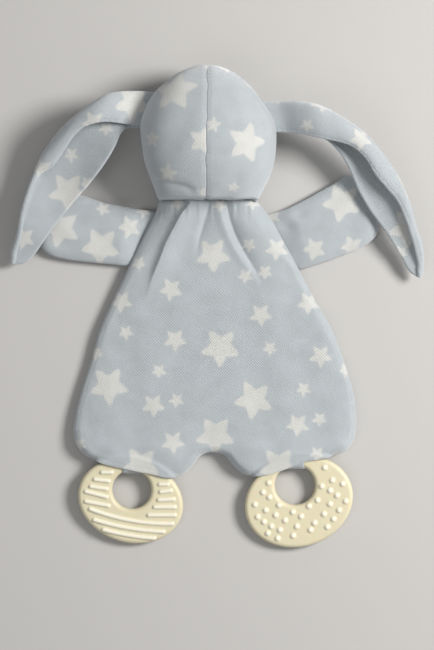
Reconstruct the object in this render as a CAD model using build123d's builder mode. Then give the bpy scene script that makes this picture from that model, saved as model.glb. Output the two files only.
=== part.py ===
from build123d import *
from math import asin, cos, radians, sin
import os

# Plush bunny comforter with a rattle in its head and a teether ring in each foot.
# It lies face down: +Z is up from the surface, +Y runs towards the head.
# The origin is on the flat underside of the body's front panel. All sizes are millimetres.

FABRIC = 1.6  # one layer of velour with its lining
GAP = 0.3  # room between neighbouring soft pieces
TILT_ROOM = 5.0  # how far the shoulders fall away from the neck, so that the head can tilt

# ---- head: centre x, y, half width, centre z and half height of each cross-section
NECK_Y = 70.1
HEAD_TOP_Y = 157.2
HEAD_SECTIONS = [
    (-5.2, NECK_Y, 31.2, 14.0, 10.0),
    (-4.9, 75.5, 33.8, 20.5, 15.5),
    (-4.5, 82.5, 37.4, 25.5, 20.5),
    (-4.2, 92.5, 41.2, 28.6, 25.5),
    (-4.4, 104.0, 43.8, 29.3, 28.3),
    (-5.3, 116.0, 44.3, 29.3, 29.2),
    (-6.3, 129.0, 39.4, 28.8, 27.0),
    (-6.8, 139.0, 33.2, 28.2, 23.5),
    (-6.2, 146.5, 25.8, 27.6, 18.5),
    (-5.6, 152.5, 17.8, 27.2, 13.0),
    (-6.0, HEAD_TOP_Y, 5.5, 27.0, 4.0),
]
SEAM_X = -5.9  # the centre back seam
SEAM_Z = 28.8  # the seam between the back panels and the face
NECK_SEAM_Z = 13.0
SEAM_LEVEL_Y = 116.0

# ---- rattle capsule in the middle of the head
CAPSULE_X, CAPSULE_Y = -5.2, 112.0
CAPSULE_RADIUS = 16.0
CAPSULE_WALL = 1.5
CAPSULE_FLOOR_Z, CAPSULE_SPLIT_Z, CAPSULE_TOP_Z = 19.0, 30.0, 39.0
LIP_DEPTH = 2.0
LIP_WALL = 1.2
LIP_PLAY = 0.05
BEAD_RADIUS = 3.0
BEAD_SPREAD = 8.0

# ---- embroidery on the face
THREAD = 0.7
EYE_SPACING = 17.0
EYE_Y, NOSE_Y, MOUTH_Y = 110.0, 96.5, 88.5

# ---- ears: height of the sheet's underside at each distance from the middle of the head
EAR_DRAPE = [
    (44.0, 31.5),
    (58.0, 31.0),
    (74.0, 27.5),
    (90.0, 20.5),
    (106.0, 14.2),
    (122.0, 12.4),
    (142.0, 12.2),
]
EAR_LAYER = 1.7

# ---- body
# Height of the top surface at each y.
BODY_TOP = [
    (74.0, 17.5),
    (55.0, 15.5),
    (30.0, 12.5),
    (0.0, 10.5),
    (-62.0, 10.5),
    (-86.0, 12.2),
    (-95.0, 14.6),
]
HEM_Y = -98.5
FRONT_HEM_Y = -94.2
WADDING_END_Y = -92.0
BODY_REACH = 110.0
BODY_CEILING = 40.0  # above the highest part of the body
HEAD_CEILING = 70.0  # above the highest part of the head

# ---- arms
ARM_BOTTOM, ARM_TOP = 0.3, 9.6

# ---- teether rings: each turns about its own band, which lies in a loop of the body's foot
RING_THICK = 7.0
RING_EDGE = 2.6
HINGE_Z = 7.4
LOOP_RADIUS = 5.8
LOOP_WALL = 1.4
LOOP_WIDTH = 10.0
LOOP_SIDE_ROOM = 4.0
FLOOR_ROOM = 0.15
# Beside each loop the hem is open, so that the ring's limbs come out and can turn up.
GATE_Y = -94.5
GATE_WIDTH = 25.0
RELIEF_ROOT = 0.4  # how deep a ridge's foot sits in the ring
RIDGE_WIDTH, RIDGE_HEIGHT, RIDGE_ROUND = 2.5, 1.3, 1.0
DOT_RADIUS, DOT_HEIGHT = 2.1, 1.3

os.makedirs("parts", exist_ok=True)


def save(shape, name):
    """Label a finished piece and write it as its own file."""
    shape.label = name
    export_step(shape, f"parts/{name}.step")


# ================================================================ head
def head_form(inset):
    """The whole head, smaller all round by inset (larger when inset is negative)."""
    with BuildPart() as form:
        for centre_x, y, half_width, centre_z, half_height in HEAD_SECTIONS:
            if y == NECK_Y:
                y += inset
            if y == HEAD_TOP_Y:
                y -= inset
            section = Plane(origin=(centre_x, y, centre_z), x_dir=(1, 0, 0), z_dir=(0, 1, 0))
            with BuildSketch(section):
                Ellipse(half_width - inset, half_height - inset)
        loft()
    return form.part


def above_seam(side):
    """Everything above the side seam: side is -1 for left of the centre seam, 1 for right."""
    with BuildPart() as region:
        with BuildSketch(Plane.YZ.offset(SEAM_X)):
            Polygon(
                (60.0, NECK_SEAM_Z - 3.0),
                (SEAM_LEVEL_Y, SEAM_Z),
                (170.0, SEAM_Z),
                (170.0, HEAD_CEILING),
                (60.0, HEAD_CEILING),
                align=None,
            )
        extrude(amount=side * 60.0)
    return region.part


head_outside = head_form(0.0)
head_inside = head_form(FABRIC)
seam_left = above_seam(-1)
seam_right = above_seam(1)

for side_name, region in [("left", seam_left), ("right", seam_right)]:
    with BuildPart() as head_back:
        add(head_outside)
        add(head_inside, mode=Mode.SUBTRACT)
        add(region, mode=Mode.INTERSECT)
    save(head_back.part, f"head_back_{side_name}")

with BuildPart() as head_face:
    add(head_outside)
    add(head_inside, mode=Mode.SUBTRACT)
    add(seam_left, mode=Mode.SUBTRACT)
    add(seam_right, mode=Mode.SUBTRACT)
save(head_face.part, "head_face")

# Stuffing in two halves, packed under and over the capsule.
stuffing = head_form(FABRIC + 2 * GAP)
CAPSULE_MIDDLE_Z = (CAPSULE_FLOOR_Z + CAPSULE_TOP_Z) / 2
CAPSULE_PLANE = Plane(origin=(CAPSULE_X, CAPSULE_Y, 0.0))
for half_name, direction in [("front", -1), ("back", 1)]:
    with BuildPart() as head_filling:
        with BuildSketch(CAPSULE_PLANE.offset(CAPSULE_MIDDLE_Z)):
            Rectangle(120.0, 120.0)
        extrude(amount=direction * 60.0)
        add(stuffing, mode=Mode.INTERSECT)
        with BuildSketch(CAPSULE_PLANE.offset(CAPSULE_FLOOR_Z - GAP)):
            Circle(CAPSULE_RADIUS + GAP)
        extrude(amount=CAPSULE_TOP_Z - CAPSULE_FLOOR_Z + 2 * GAP, mode=Mode.SUBTRACT)
    save(head_filling.part, f"head_filling_{half_name}")

# ================================================================ rattle capsule
with BuildPart() as rattle_capsule_base:
    with BuildSketch(CAPSULE_PLANE.offset(CAPSULE_FLOOR_Z)):
        Circle(CAPSULE_RADIUS)
    extrude(amount=CAPSULE_SPLIT_Z - CAPSULE_FLOOR_Z)
    with BuildSketch(CAPSULE_PLANE.offset(CAPSULE_FLOOR_Z + CAPSULE_WALL)):
        Circle(CAPSULE_RADIUS - CAPSULE_WALL)
    extrude(amount=CAPSULE_SPLIT_Z, mode=Mode.SUBTRACT)
    fillet(rattle_capsule_base.edges().group_by(Axis.Z)[0], 1.2)
save(rattle_capsule_base.part, "rattle_capsule_base")

LIP_RADIUS = CAPSULE_RADIUS - CAPSULE_WALL - LIP_PLAY
with BuildPart() as rattle_capsule_lid:
    with BuildSketch(CAPSULE_PLANE.offset(CAPSULE_SPLIT_Z)):
        Circle(CAPSULE_RADIUS)
    extrude(amount=CAPSULE_TOP_Z - CAPSULE_SPLIT_Z)
    with BuildSketch(CAPSULE_PLANE.offset(CAPSULE_SPLIT_Z - LIP_DEPTH)):
        Circle(LIP_RADIUS)
    extrude(amount=LIP_DEPTH)
    with BuildSketch(CAPSULE_PLANE.offset(CAPSULE_SPLIT_Z - LIP_DEPTH)):
        Circle(LIP_RADIUS - LIP_WALL)
    extrude(amount=CAPSULE_TOP_Z - CAPSULE_SPLIT_Z - CAPSULE_WALL + LIP_DEPTH, mode=Mode.SUBTRACT)
    fillet(rattle_capsule_lid.edges().group_by(Axis.Z)[-1], 1.2)
save(rattle_capsule_lid.part, "rattle_capsule_lid")

BEAD_Z = CAPSULE_FLOOR_Z + CAPSULE_WALL + BEAD_RADIUS + 0.02
BEAD_PLACES = [
    (0.0, 0.0),
    (BEAD_SPREAD, 0.0),
    (0.0, BEAD_SPREAD),
    (-BEAD_SPREAD, 0.0),
    (0.0, -BEAD_SPREAD),
]
for number, (across, along) in enumerate(BEAD_PLACES, start=1):
    with BuildPart() as rattle_bead:
        with Locations((CAPSULE_X + across, CAPSULE_Y + along, BEAD_Z)):
            Sphere(BEAD_RADIUS)
    save(rattle_bead.part, f"rattle_bead_{number}")

# ================================================================ embroidery
thread_outside = head_form(-THREAD)
thread_inside = head_form(-0.05)


def embroidery(patch, name):
    """A raised patch of thread that follows the underside of the face within a sketch."""
    with BuildPart() as stitched:
        add(thread_outside)
        add(thread_inside, mode=Mode.SUBTRACT)
        with BuildSketch(Plane.XY.offset(-5.0)):
            add(patch)
        extrude(amount=20.0, mode=Mode.INTERSECT)
    save(stitched.part, name)


for side_name, side in [("left", -1), ("right", 1)]:
    with BuildSketch() as eye_patch:
        with Locations((CAPSULE_X + side * EYE_SPACING, EYE_Y)):
            Ellipse(2.6, 3.2)
    embroidery(eye_patch.sketch, f"eye_{side_name}")

with BuildSketch() as nose_patch:
    with Locations((CAPSULE_X, NOSE_Y)):
        Ellipse(5.0, 3.2)
embroidery(nose_patch.sketch, "nose")

with BuildSketch() as mouth_patch:
    with Locations((CAPSULE_X, MOUTH_Y)):
        SlotOverall(7.0, 1.4, rotation=90)
embroidery(mouth_patch.sketch, "mouth")


# ================================================================ ears
def ear_layer(outline, side, rise):
    """One layer of an ear: its outline, taken out of a sheet that drapes down from the head."""
    lower = [(side * across, height + rise) for across, height in EAR_DRAPE]
    upper = [(x, z + EAR_LAYER) for x, z in lower]
    with BuildPart() as layer:
        with BuildSketch():
            add(outline)
        extrude(amount=60.0)
        with BuildSketch(Plane.XZ):
            with BuildLine():
                Spline(*lower)
                Line(lower[-1], upper[-1])
                Spline(*upper)
                Line(upper[0], lower[0])
            make_face()
        extrude(amount=200.0, both=True, mode=Mode.INTERSECT)
    return layer.part


with BuildSketch() as ear_left_outline:
    with BuildLine():
        top_edge = [(-44.2, 141.4), (-70.0, 138.6), (-94.5, 122.5), (-113.2, 99.0)]
        Spline(*top_edge, (-126.0, 65.0), (-133.2, 33.0))
        ThreePointArc((-133.2, 33.0), (-130.8, 27.9), (-125.5, 28.3))
        Spline((-125.5, 28.3), (-101.4, 57.5), (-80.6, 82.2), (-66.5, 103.0), (-61.5, 115.5))
        Line((-61.5, 115.5), (-54.0, 117.2))
        Line((-54.0, 117.2), (-44.2, 141.4))
    make_face()

with BuildSketch() as ear_right_outline:
    with BuildLine():
        Spline((34.6, 134.5), (57.0, 134.9), (78.0, 126.4), (104.5, 103.5), (124.8, 69.9), (135.0, 27.5))
        ThreePointArc((135.0, 27.5), (131.5, 20.0), (126.8, 22.4))
        Spline((126.8, 22.4), (109.2, 50.4), (91.0, 79.0), (80.0, 100.8), (66.0, 111.2))
        Line((66.0, 111.2), (43.6, 112.9))
        Line((43.6, 112.9), (34.6, 134.5))
    make_face()

EARS = [("left", -1, ear_left_outline.sketch), ("right", 1, ear_right_outline.sketch)]
for side_name, side, outline in EARS:
    save(ear_layer(outline, side, 0.0), f"ear_{side_name}_outer")
    save(ear_layer(outline, side, EAR_LAYER + GAP), f"ear_{side_name}_lining")


# ================================================================ arms
def padded_arm(outline, side_name):
    """Upper layer as an upturned tray, lower layer as a sheet, and wadding in the tray."""
    with BuildPart() as arm_back:
        with BuildSketch(Plane.XY.offset(ARM_BOTTOM + FABRIC)):
            add(outline)
        extrude(amount=ARM_TOP - ARM_BOTTOM - FABRIC)
        with BuildSketch(Plane.XY.offset(ARM_BOTTOM + FABRIC)):
            offset(outline, amount=-FABRIC)
        extrude(amount=ARM_TOP - ARM_BOTTOM - 2 * FABRIC, mode=Mode.SUBTRACT)
    save(arm_back.part, f"arm_{side_name}_back")

    with BuildPart() as arm_front:
        with BuildSketch(Plane.XY.offset(ARM_BOTTOM)):
            add(outline)
        extrude(amount=FABRIC)
    save(arm_front.part, f"arm_{side_name}_front")

    with BuildPart() as arm_filling:
        with BuildSketch(Plane.XY.offset(ARM_BOTTOM + FABRIC)):
            offset(outline, amount=-FABRIC - GAP)
        extrude(amount=ARM_TOP - ARM_BOTTOM - 2 * FABRIC - GAP)
    save(arm_filling.part, f"arm_{side_name}_filling")


# Each arm comes to a blunt point at its shoulder, so that it can swing beside the body.
with BuildSketch() as arm_left_outline:
    with BuildLine():
        Line((-48.6, 45.3), (-41.8, 64.0))
        ThreePointArc((-41.8, 64.0), (-70.9, 67.9), (-100.0, 73.0))
        ThreePointArc((-100.0, 73.0), (-114.5, 56.0), (-110.0, 35.5))
        ThreePointArc((-110.0, 35.5), (-86.0, 29.7), (-61.5, 28.0))
        Line((-61.5, 28.0), (-48.6, 45.3))
    make_face()
padded_arm(arm_left_outline.sketch, "left")

with BuildSketch() as arm_right_outline:
    with BuildLine():
        Line((43.9, 42.4), (37.8, 62.9))
        ThreePointArc((37.8, 62.9), (60.5, 71.8), (84.5, 85.5))
        ThreePointArc((84.5, 85.5), (87.2, 86.3), (89.0, 84.5))
        Line((89.0, 84.5), (105.2, 58.5))
        ThreePointArc((105.2, 58.5), (106.3, 49.5), (100.1, 42.6))
        ThreePointArc((100.1, 42.6), (79.5, 33.0), (58.2, 27.0))
        Line((58.2, 27.0), (43.9, 42.4))
    make_face()
padded_arm(arm_right_outline.sketch, "right")

# ================================================================ body
SHOULDER_Y = NECK_Y - TILT_ROOM
with BuildSketch() as body_outline:
    with BuildLine():
        Line((-5.0, NECK_Y - 0.5), (-35.5, SHOULDER_Y))
        ThreePointArc((-35.5, SHOULDER_Y), (-71.5, -5.0), (-92.5, -76.0))
        ThreePointArc((-92.5, -76.0), (-91.7, -89.0), (-82.0, HEM_Y))
        Line((-82.0, HEM_Y), (-12.0, HEM_Y))
        ThreePointArc((-12.0, HEM_Y), (-3.3, -94.6), (6.0, HEM_Y))
        Line((6.0, HEM_Y), (80.0, HEM_Y))
        ThreePointArc((80.0, HEM_Y), (90.0, -89.0), (92.3, -76.0))
        ThreePointArc((92.3, -76.0), (65.5, 4.0), (26.5, SHOULDER_Y))
        Line((26.5, SHOULDER_Y), (-5.0, NECK_Y - 0.5))
    make_face()


def under_top(drop):
    """The space under the body's top surface, lowered by drop, above the front panel."""
    top = [(y, z - drop) for y, z in BODY_TOP]
    with BuildPart() as space:
        with BuildSketch(Plane.YZ):
            with BuildLine():
                hem = [(-BODY_REACH, top[-1][1]), (-BODY_REACH, FABRIC)]
                Polyline((top[0][0], FABRIC), *top, *hem, close=True)
            make_face()
        extrude(amount=BODY_REACH, both=True)
    return space.part


def body_block(inset, drop):
    """The padded body above its front panel, smaller all round by inset and lower by drop."""
    with BuildPart() as block:
        with BuildSketch():
            offset(body_outline.sketch, amount=-inset)
        extrude(amount=BODY_CEILING)
        add(under_top(drop), mode=Mode.INTERSECT)
    return block.part


# Each ring: hinge y, centre, half axes and turn of its outline, and centre and radius of its hole.
RINGS = {
    "left": (-102.0, (-55.7, -125.9), (34.7, 27.5), -16.0, (-54.9, -118.6), 12.7),
    "right": (-99.2, (54.0, -126.4), (35.8, 29.6), 18.5, (51.4, -115.6), 13.1),
}

with BuildPart() as body_back:
    with BuildSketch():
        add(body_outline.sketch)
    extrude(amount=BODY_CEILING)
    add(under_top(0.0), mode=Mode.INTERSECT)
    add(body_block(FABRIC, FABRIC), mode=Mode.SUBTRACT)
    # The hem turns under each ring's band and is stitched shut through the ring's hole.
    for hinge_y, _, _, _, (hole_x, _), _ in RINGS.values():
        with BuildSketch(Plane.YZ.offset(hole_x)):
            with Locations((hinge_y, HINGE_Z)):
                Circle(LOOP_RADIUS + LOOP_WALL)
        extrude(amount=LOOP_WIDTH / 2, both=True)
        with BuildSketch(Plane.YZ.offset(hole_x)):
            with Locations((hinge_y, HINGE_Z)):
                Circle(LOOP_RADIUS)
        extrude(amount=LOOP_WIDTH / 2 + LOOP_SIDE_ROOM, both=True, mode=Mode.SUBTRACT)
        for gate_side in (-1, 1):
            gate_x = hole_x + gate_side * (LOOP_WIDTH + GATE_WIDTH) / 2
            gate_y = (GATE_Y + HEM_Y) / 2
            with BuildSketch(Plane.XY.offset(FABRIC)):
                with Locations((gate_x, gate_y)):
                    Rectangle(GATE_WIDTH, GATE_Y - HEM_Y)
            extrude(amount=BODY_CEILING, mode=Mode.SUBTRACT)
save(body_back.part, "body_back")

with BuildPart() as body_front:
    with BuildSketch():
        add(body_outline.sketch)
        with Locations((0.0, FRONT_HEM_Y - 20.0)):
            Rectangle(2 * BODY_REACH, 40.0, mode=Mode.SUBTRACT)
    extrude(amount=FABRIC)
save(body_front.part, "body_front")

with BuildPart() as body_wadding:
    add(body_block(FABRIC + GAP, FABRIC + GAP))
    split(bisect_by=Plane.XZ.offset(-WADDING_END_Y), keep=Keep.BOTTOM)
save(body_wadding.part, "body_wadding")


# ================================================================ teether rings
def ring_plane(hinge_y, centre_y, half_height):
    """The ring's mid-plane: through its hinge, and down so that the far edge rests on the surface."""
    reach = hinge_y - centre_y + half_height - RING_THICK / 2
    drop = HINGE_Z - RING_THICK / 2 - FLOOR_ROOM
    tilt = asin(drop / reach)
    return Plane(origin=(0.0, hinge_y, HINGE_Z), x_dir=(1, 0, 0), z_dir=(0, -sin(tilt), cos(tilt)))


def ring_blank(plane, hinge_y, centre, half_axes, turn, hole, hole_radius):
    """A flat oval ring with rounded edges and an off-centre round hole."""
    with BuildPart() as blank:
        with BuildSketch(plane.offset(-RING_THICK / 2)):
            with Locations((centre[0], centre[1] - hinge_y)):
                Ellipse(half_axes[0], half_axes[1], rotation=turn)
            with Locations((hole[0], hole[1] - hinge_y)):
                Circle(hole_radius, mode=Mode.SUBTRACT)
        extrude(amount=RING_THICK)
        ends = blank.faces().filter_by(GeomType.PLANE)
        fillet(ends.edges(), RING_EDGE)
    return blank.part


def tall_half(half_axes, turn):
    """Half the height of an oval that is turned in its plane."""
    long_part = half_axes[0] * sin(radians(turn))
    short_part = half_axes[1] * cos(radians(turn))
    return (long_part**2 + short_part**2) ** 0.5


# Straight ridges across the two limbs: middle and length from the ring's centre, and slope.
STRAIGHT_RIDGES = [
    (-15.5, 19.0, 8.6, 0.0),
    (-18.7, 13.8, 11.4, -7.0),
    (-20.7, 8.9, 12.8, -9.0),
    (-22.3, 4.6, 16.4, -15.0),
    (-21.7, -1.5, 17.4, -11.0),
    (21.6, 11.2, 7.6, 0.0),
    (22.9, 6.6, 9.0, 8.0),
    (23.2, 1.1, 12.0, 3.0),
    (22.2, -3.8, 15.4, 0.0),
    (20.3, -9.1, 19.4, 0.0),
]
# Long ridges that bow along the ring's wide end: start, middle and end of each.
BOWED_RIDGES = [
    ((-26.2, -5.1), (1.7, -12.9), (27.1, -14.8)),
    ((-23.6, -12.2), (-0.2, -17.8), (21.2, -20.0)),
    ((-17.6, -18.7), (-1.5, -22.3), (15.4, -24.3)),
]
# Dots scattered over the other ring, from its centre.
DOTS = [
    *[(16.5, 22.5), (21.5, 14.1), (28.3, 11.8), (14.6, 10.2), (20.1, 7.4), (24.6, 4.2)],
    *[(11.9, 1.1), (30.3, 0.4), (20.0, -1.5), (6.3, -2.8), (26.0, -5.4), (16.1, -8.0)],
    *[(22.4, -11.3), (9.9, -13.9), (18.4, -16.5), (7.4, -18.4), (1.3, -9.6), (-4.2, -6.7)],
    *[(-1.5, -16.1), (-3.9, -22.2), (-9.2, -12.2), (-13.2, -2.1), (-15.3, -8.7), (-19.4, 3.0)],
    *[(-21.8, -5.5), (-23.6, 6.2), (-19.9, 12.4), (-28.8, -1.8), (-27.0, -9.8), (-23.0, -13.1)],
    *[(-18.1, -16.0), (-12.5, -18.4), (-20.4, -20.6), (-14.0, -24.0)],
]

hinge_y, centre, half_axes, turn, hole, hole_radius = RINGS["left"]
plane = ring_plane(hinge_y, centre[1], tall_half(half_axes, turn))
centre_y = centre[1] - hinge_y
bows = []
for points in BOWED_RIDGES:
    bows.append(Edge.make_three_point_arc(*[(centre[0] + x, centre_y + y) for x, y in points]))
with BuildPart() as teether_left:
    add(ring_blank(plane, hinge_y, centre, half_axes, turn, hole, hole_radius))
    with BuildSketch(plane.offset(RING_THICK / 2 - RELIEF_ROOT)):
        for across, along, length, slope in STRAIGHT_RIDGES:
            with Locations((centre[0] + across, centre_y + along)):
                SlotOverall(length, RIDGE_WIDTH, rotation=slope)
        for bow in bows:
            SlotArc(bow, RIDGE_WIDTH)
    extrude(amount=RELIEF_ROOT + RIDGE_HEIGHT)
    crests = teether_left.faces().group_by(Axis(plane.origin, plane.z_dir))[-1]
    fillet(crests.edges(), RIDGE_ROUND)
save(teether_left.part, "teether_left")

hinge_y, centre, half_axes, turn, hole, hole_radius = RINGS["right"]
plane = ring_plane(hinge_y, centre[1], tall_half(half_axes, turn))
centre_y = centre[1] - hinge_y
dot_height = RING_THICK / 2 + DOT_HEIGHT - DOT_RADIUS
dot_places = [plane.location * Location((centre[0] + x, centre_y + y, dot_height)) for x, y in DOTS]
with BuildPart() as teether_right:
    add(ring_blank(plane, hinge_y, centre, half_axes, turn, hole, hole_radius))
    with Locations(*dot_places):
        Sphere(DOT_RADIUS)
save(teether_right.part, "teether_right")
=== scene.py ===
import math

import bpy
import numpy as np
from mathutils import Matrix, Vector, kdtree


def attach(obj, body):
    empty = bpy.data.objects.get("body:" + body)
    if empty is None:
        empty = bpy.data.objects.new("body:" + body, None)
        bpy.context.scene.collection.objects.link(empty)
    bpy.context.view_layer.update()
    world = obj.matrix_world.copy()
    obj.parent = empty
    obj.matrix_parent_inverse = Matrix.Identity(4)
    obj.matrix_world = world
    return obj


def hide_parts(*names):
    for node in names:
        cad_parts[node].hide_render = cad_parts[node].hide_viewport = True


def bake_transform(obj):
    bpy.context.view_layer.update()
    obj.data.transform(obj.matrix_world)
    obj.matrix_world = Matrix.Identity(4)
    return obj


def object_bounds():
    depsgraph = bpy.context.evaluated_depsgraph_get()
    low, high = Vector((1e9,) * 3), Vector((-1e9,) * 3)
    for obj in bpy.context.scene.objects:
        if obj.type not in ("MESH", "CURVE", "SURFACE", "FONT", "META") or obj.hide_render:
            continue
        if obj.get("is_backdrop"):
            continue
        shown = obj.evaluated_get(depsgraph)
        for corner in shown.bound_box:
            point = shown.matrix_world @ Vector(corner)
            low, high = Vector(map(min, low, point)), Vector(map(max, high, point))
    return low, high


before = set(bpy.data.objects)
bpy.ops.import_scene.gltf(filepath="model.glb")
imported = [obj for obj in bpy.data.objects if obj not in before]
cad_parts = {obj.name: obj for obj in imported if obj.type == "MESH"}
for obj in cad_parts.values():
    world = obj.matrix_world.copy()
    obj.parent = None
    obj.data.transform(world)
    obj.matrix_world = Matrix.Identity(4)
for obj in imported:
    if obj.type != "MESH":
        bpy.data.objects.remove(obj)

CAD_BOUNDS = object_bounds()
MM = 0.001
CLOTH = 1.2  # thickness of one layer of cloth
CUT = 0.35  # its thickness right at a cut edge
CUT_RUN = 3.0  # how far in from the edge it is at its full thickness
EYE = np.array([0.65, -11.4, 1800.0])  # the camera
DRAWN = 11.4  # the height at which outlines seen from above are drawn


# ================================================================ lines and grids
def ease(t):
    t = np.clip(t, 0.0, 1.0)
    return t * t * (3.0 - 2.0 * t)


def dome(d, r):
    """0 at an edge, rising round to 1 at distance r from it."""
    return np.sqrt(np.clip(1.0 - (1.0 - np.clip(d / r, 0.0, 1.0)) ** 2, 0.0, 1.0))


def spread(count, crowd):
    """Steps from 0 to 1, closer together near both ends."""
    t = np.linspace(0.0, 1.0, count)
    return (1.0 - crowd) * t + crowd * (0.5 - 0.5 * np.cos(np.pi * t))


def between(start, end, start_slope, end_slope, run, s):
    """A smooth step from start to end, at the share s of a stretch of length run."""
    near = (2 * s**3 - 3 * s**2 + 1) * start + (s**3 - 2 * s**2 + s) * run * start_slope
    return near + ((3 * s**2 - 2 * s**3) * end + (s**3 - s**2) * run * end_slope)


def line(points, steps):
    """A smooth line through points, at the given shares of its length."""
    p = np.array(points, float)
    t = np.concatenate([[0.0], np.cumsum(np.linalg.norm(np.diff(p, axis=0), axis=1))])
    slope = np.gradient(p, t, axis=0)
    fine = np.linspace(0.0, t[-1], 24 * len(p))
    k = np.clip(np.searchsorted(t, fine, side="right") - 1, 0, len(p) - 2)
    h = (t[k + 1] - t[k])[:, None]
    s = (fine - t[k])[:, None] / h
    drawn = between(p[k], p[k + 1], slope[k], slope[k + 1], h, s)
    run = np.concatenate([[0.0], np.cumsum(np.linalg.norm(np.diff(drawn, axis=0), axis=1))])
    want = np.asarray(steps) * run[-1]
    return np.stack([np.interp(want, run, drawn[:, i]) for i in range(p.shape[1])], 1)


def height(table, where):
    """Smooth height along a table of (place, height)."""
    place, high = np.array(sorted(table), float).T
    slope = np.gradient(high, place)
    k = np.clip(np.searchsorted(place, where, side="right") - 1, 0, len(place) - 2)
    h = place[k + 1] - place[k]
    s = np.clip((where - place[k]) / h, 0.0, 1.0)
    return between(high[k], high[k + 1], slope[k], slope[k + 1], h, s)


def coons(first, last, low, high, u, v):
    """A grid inside four lines: first and last run along u, low and high along v."""
    u, v = u[:, None, None], v[None, :, None]
    grid = (1 - v) * first[:, None] + v * last[:, None] + (1 - u) * low[None] + u * high[None]
    grid -= (1 - u) * (1 - v) * first[0] + u * (1 - v) * first[-1]
    grid -= (1 - u) * v * last[0] + u * v * last[-1]
    return grid


def edge_distance(grid, lines):
    """Distance from each point of a grid to the nearest of some lines, seen from above."""
    flat = grid[..., :2].reshape(-1, 2)
    best = np.full(len(flat), 1e9)
    for drawn in lines:
        tree = kdtree.KDTree(len(drawn))
        for i, (x, y) in enumerate(drawn[:, :2]):
            tree.insert((x, y, 0.0), i)
        tree.balance()
        near = np.array([tree.find((x, y, 0.0))[1] for x, y in flat])
        for step in (-1, 0):
            a = drawn[np.clip(near + step, 0, len(drawn) - 2), :2]
            b = drawn[np.clip(near + step, 0, len(drawn) - 2) + 1, :2]
            t = np.clip(((flat - a) * (b - a)).sum(1) / ((b - a) ** 2).sum(1), 0, 1)[:, None]
            best = np.minimum(best, np.linalg.norm(flat - a - t * (b - a), axis=1))
    return best.reshape(grid.shape[:-1])


def seen_at(place, z):
    """Where a place drawn at the height DRAWN lies at the height z, so that it looks the same."""
    return EYE[:2] + (np.asarray(place) - EYE[:2]) * (EYE[2] - z) / (EYE[2] - DRAWN)


def line_distance(grid, points):
    return edge_distance(grid, [line(points, np.linspace(0, 1, 80))])


def ripple(x, y, size, waves, seed):
    """Soft unevenness of cloth: a few crossing waves."""
    chance = np.random.default_rng(seed)
    total = np.zeros_like(x)
    for length in waves:
        turn = chance.uniform(0, np.pi)
        phase = chance.uniform(0, 2 * np.pi)
        total += np.sin(2 * np.pi * (x * np.cos(turn) + y * np.sin(turn)) / length + phase)
    return size * total / len(waves)


def facing(grid):
    """Unit normals of a grid."""
    n = np.cross(np.gradient(grid, axis=0), np.gradient(grid, axis=1))
    return n / (np.linalg.norm(n, axis=-1, keepdims=True) + 1e-12)


def bell(distance, width):
    """1 at a line, falling off smoothly on both sides of it."""
    return np.exp(-((distance / width) ** 2))


# ================================================================ meshes
def quads_of(rows, cols):
    i = np.arange(rows * cols).reshape(rows, cols)
    return np.stack([i[:-1, :-1], i[1:, :-1], i[1:, 1:], i[:-1, 1:]], -1).reshape(-1, 4)


def shell(outer, inner, cells=None):
    """Points and quads of a closed piece between two grids. The outer grid's quads come first."""
    rows, cols = outer.shape[:2]
    n = rows * cols
    top = quads_of(rows, cols)
    if cells is not None:
        top = top[cells.ravel()]
    walk = np.concatenate([top[:, [k, (k + 1) % 4]] for k in range(4)])
    rim = walk[~np.isin(walk[:, 0] * n + walk[:, 1], walk[:, 1] * n + walk[:, 0])]
    side = np.stack([rim[:, 1], rim[:, 0], rim[:, 0] + n, rim[:, 1] + n], -1)
    points = np.concatenate([outer.reshape(-1, 3), inner.reshape(-1, 3)])
    return points, np.concatenate([top, top[:, ::-1] + n, side])


def signed_volume(points, quads):
    a, b, c, d = (points[quads[:, k]] for k in range(4))
    return float((a * np.cross(b, c)).sum() + (a * np.cross(c, d)).sum())


def welded(points):
    """Which points to keep where several coincide, and each point's number among those kept."""
    places, same = np.unique(np.round(points, 5), axis=0, return_inverse=True)
    first = np.zeros(len(places), int)
    first[same[::-1]] = np.arange(len(points))[::-1]
    used = np.unique(first[same])
    number = np.zeros(len(points), int)
    number[used] = np.arange(len(used))
    return used, number[first[same]]


piece_print = {}  # for each piece, which of its faces carry the print


def new_piece(name, points, quads, material, printed=None, normals=None):
    """A smooth mesh piece. printed is how many of its first quads carry the printed pattern."""
    if normals is None and signed_volume(points, quads) < 0:
        quads = quads[:, ::-1]
    if printed is None:
        printed = len(quads)
    mesh = bpy.data.meshes.new(name)
    used, numbers = welded(points)
    faces, kept = [], []
    for number, quad in enumerate(numbers[quads].tolist()):
        face = list(dict.fromkeys(quad))
        if len(face) > 2:
            faces.append(face)
            kept.append(number < printed)
    mesh.from_pydata((points[used] * MM).tolist(), [], faces)
    mesh.shade_smooth()
    rest = mesh.attributes.new("rest", "FLOAT_VECTOR", "POINT")
    rest.data.foreach_set("vector", points[used].astype(np.float32).ravel())
    mesh.materials.append(material)
    piece = bpy.data.objects.new(name, mesh)
    bpy.context.scene.collection.objects.link(piece)
    if normals is not None:
        mesh.normals_split_custom_set_from_vertices(normals[used].tolist())
    piece_print[name] = np.array(kept)
    return piece


def printed_piece(name, grids, node, printed=None):
    """A closed piece of printed cloth between two grids, standing in for a CAD node."""
    piece = new_piece(name, *shell(*grids), VELOUR, printed)
    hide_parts(node)
    return piece


def stuffing_piece(name, grids, node):
    piece = new_piece(name, *shell(*grids), STUFFING)
    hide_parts(node)
    return piece


# ================================================================ stars of the print
BIG, MID, SMALL = 13.8, 8.2, 5.4  # radii
EVERYWHERE = 2.0  # as unseen below: scatter whatever way the cloth faces
TRIES = 900
GAP = 5.0
NEAR = 1.9  # how far a star can matter, in radii


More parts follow.
